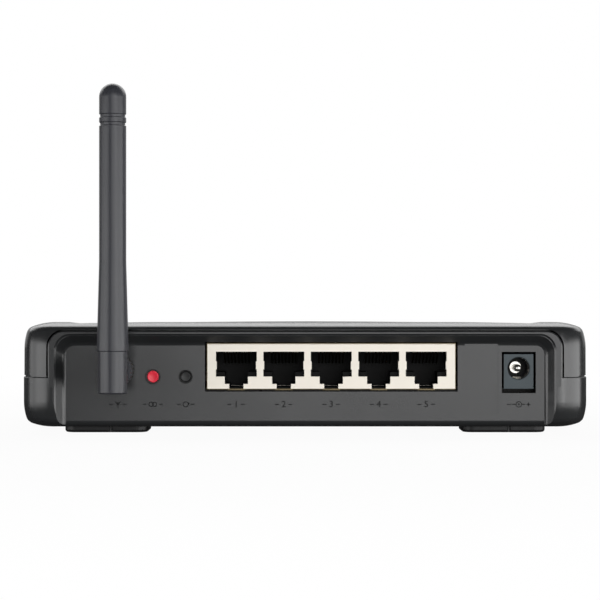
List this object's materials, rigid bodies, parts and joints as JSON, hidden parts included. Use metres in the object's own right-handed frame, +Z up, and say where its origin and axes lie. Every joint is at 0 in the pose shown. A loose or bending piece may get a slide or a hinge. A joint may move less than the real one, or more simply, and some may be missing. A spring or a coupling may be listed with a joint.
{
  "type": "wireless router",
  "caption": "Desktop wireless router: two-shell case with a recessed panel of network and power sockets, two push buttons and a tilting, swivelling rod antenna.",
  "frame": {"origin": "bottom centre of the whole part's bounding box, antenna upright, at the underside of the feet", "axes": "+X to the right when facing the socket panel, +Y from the socket panel to the front edge, +Z up"},
  "size_m": [0.167, 0.1344, 0.1013],
  "materials": {
    "case_plastic": "fine texture, satin black",
    "gloss_black": "polished",
    "clear_plastic": "clear",
    "steel": "plated",
    "label_film": "blank film",
    "board": "solder resist",
    "ivory_plastic": "satin ivory",
    "jack_moulding": "satin grey",
    "black_moulding": "satin",
    "gold_contact": "gold plated",
    "nickel": "nickel plated",
    "led_lens": "clear",
    "white_insulator": "smooth",
    "antenna_plastic": "satin",
    "cable_jacket": "smooth",
    "brass": "bare",
    "red_cap": "satin red",
    "black_cap": "satin",
    "foot_rubber": "soft",
    "aluminium": "extruded",
    "capacitor_sleeve": "shrink sleeve",
    "ferrite": "ferrite"
  },
  "bodies": {
    "case": {"antenna_lead": "cable_jacket", "antenna_socket": "nickel", "board_screws": "steel", "bottom_case": "case_plastic", "case_screws": "steel", "clock_crystal": "nickel", "dc_jack_body": "jack_moulding", "dc_jack_leaf": "nickel", "dc_jack_pin": "nickel", "flash_chip": "black_moulding", "foot_front_left": "foot_rubber", "foot_front_right": "foot_rubber", "foot_rear_left": "foot_rubber", "foot_rear_right": "foot_rubber", "heat_sink": "aluminium", "input_capacitor": "capacitor_sleeve", "lan_contacts": "gold_contact", "lan_housing": "ivory_plastic", "lan_insert": "black_moulding", "lan_shield": "brass", "lead_plug": "nickel", "lead_receptacle": "nickel", "light_guide": "clear_plastic", "main_board": "board", "memory_chip": "black_moulding", "output_capacitor": "capacitor_sleeve", "pairing_switch_body": "black_moulding", "pairing_switch_dome": "steel", "pairing_switch_frame": "steel", "port_transformer_left": "black_moulding", "port_transformer_right": "black_moulding", "power_inductor": "ferrite", "radio_shield": "steel", "rating_label": "label_film", "regulator": "black_moulding", "reset_switch_body": "black_moulding", "reset_switch_dome": "steel", "reset_switch_frame": "steel", "router_chip": "black_moulding", "socket_insulator": "white_insulator", "socket_jam_nut": "nickel", "socket_washer": "nickel", "status_leds": "led_lens", "top_case": "case_plastic", "top_plate": "gloss_black"},
    "swivel_arm": {"antenna_arm": "antenna_plastic", "antenna_centre_pin": "gold_contact"},
    "antenna_mast": {"antenna_barrel": "antenna_plastic", "antenna_hinge_pin": "steel", "antenna_radome": "antenna_plastic", "feed_cable": "cable_jacket", "radiator_sleeve": "brass", "radiator_whip": "brass"},
    "coupling_nut": {"antenna_nut": "antenna_plastic"},
    "pairing_key": {"pairing_button": "red_cap", "pairing_plunger": "white_insulator"},
    "reset_key": {"reset_button": "black_cap", "reset_plunger": "white_insulator"}
  },
  "joints": [
    {"name": "antenna_swivel", "type": "hinge", "parent": "case", "child": "swivel_arm", "pos_m": [-0.05505, -0.05506, 0.0188], "axis": [0, 1, 0], "range_deg": [-90, 90]},
    {"name": "antenna_tilt", "type": "hinge", "parent": "swivel_arm", "child": "antenna_mast", "pos_m": [-0.05505, -0.06266, 0.0188], "axis": [1, 0, 0], "range_deg": [0, 90]},
    {"name": "coupling_nut_turn", "type": "hinge", "parent": "case", "child": "coupling_nut", "pos_m": [-0.05505, -0.05506, 0.0188], "axis": [0, -1, 0], "continuous": true},
    {"name": "pairing_press", "type": "slide", "parent": "case", "child": "pairing_key", "axis": [0, 1, 0], "range_m": [0, 0.0005], "stiffness_N_per_m": 4000},
    {"name": "reset_press", "type": "slide", "parent": "case", "child": "reset_key", "axis": [0, 1, 0], "range_m": [0, 0.0005], "stiffness_N_per_m": 4000}
  ]
}
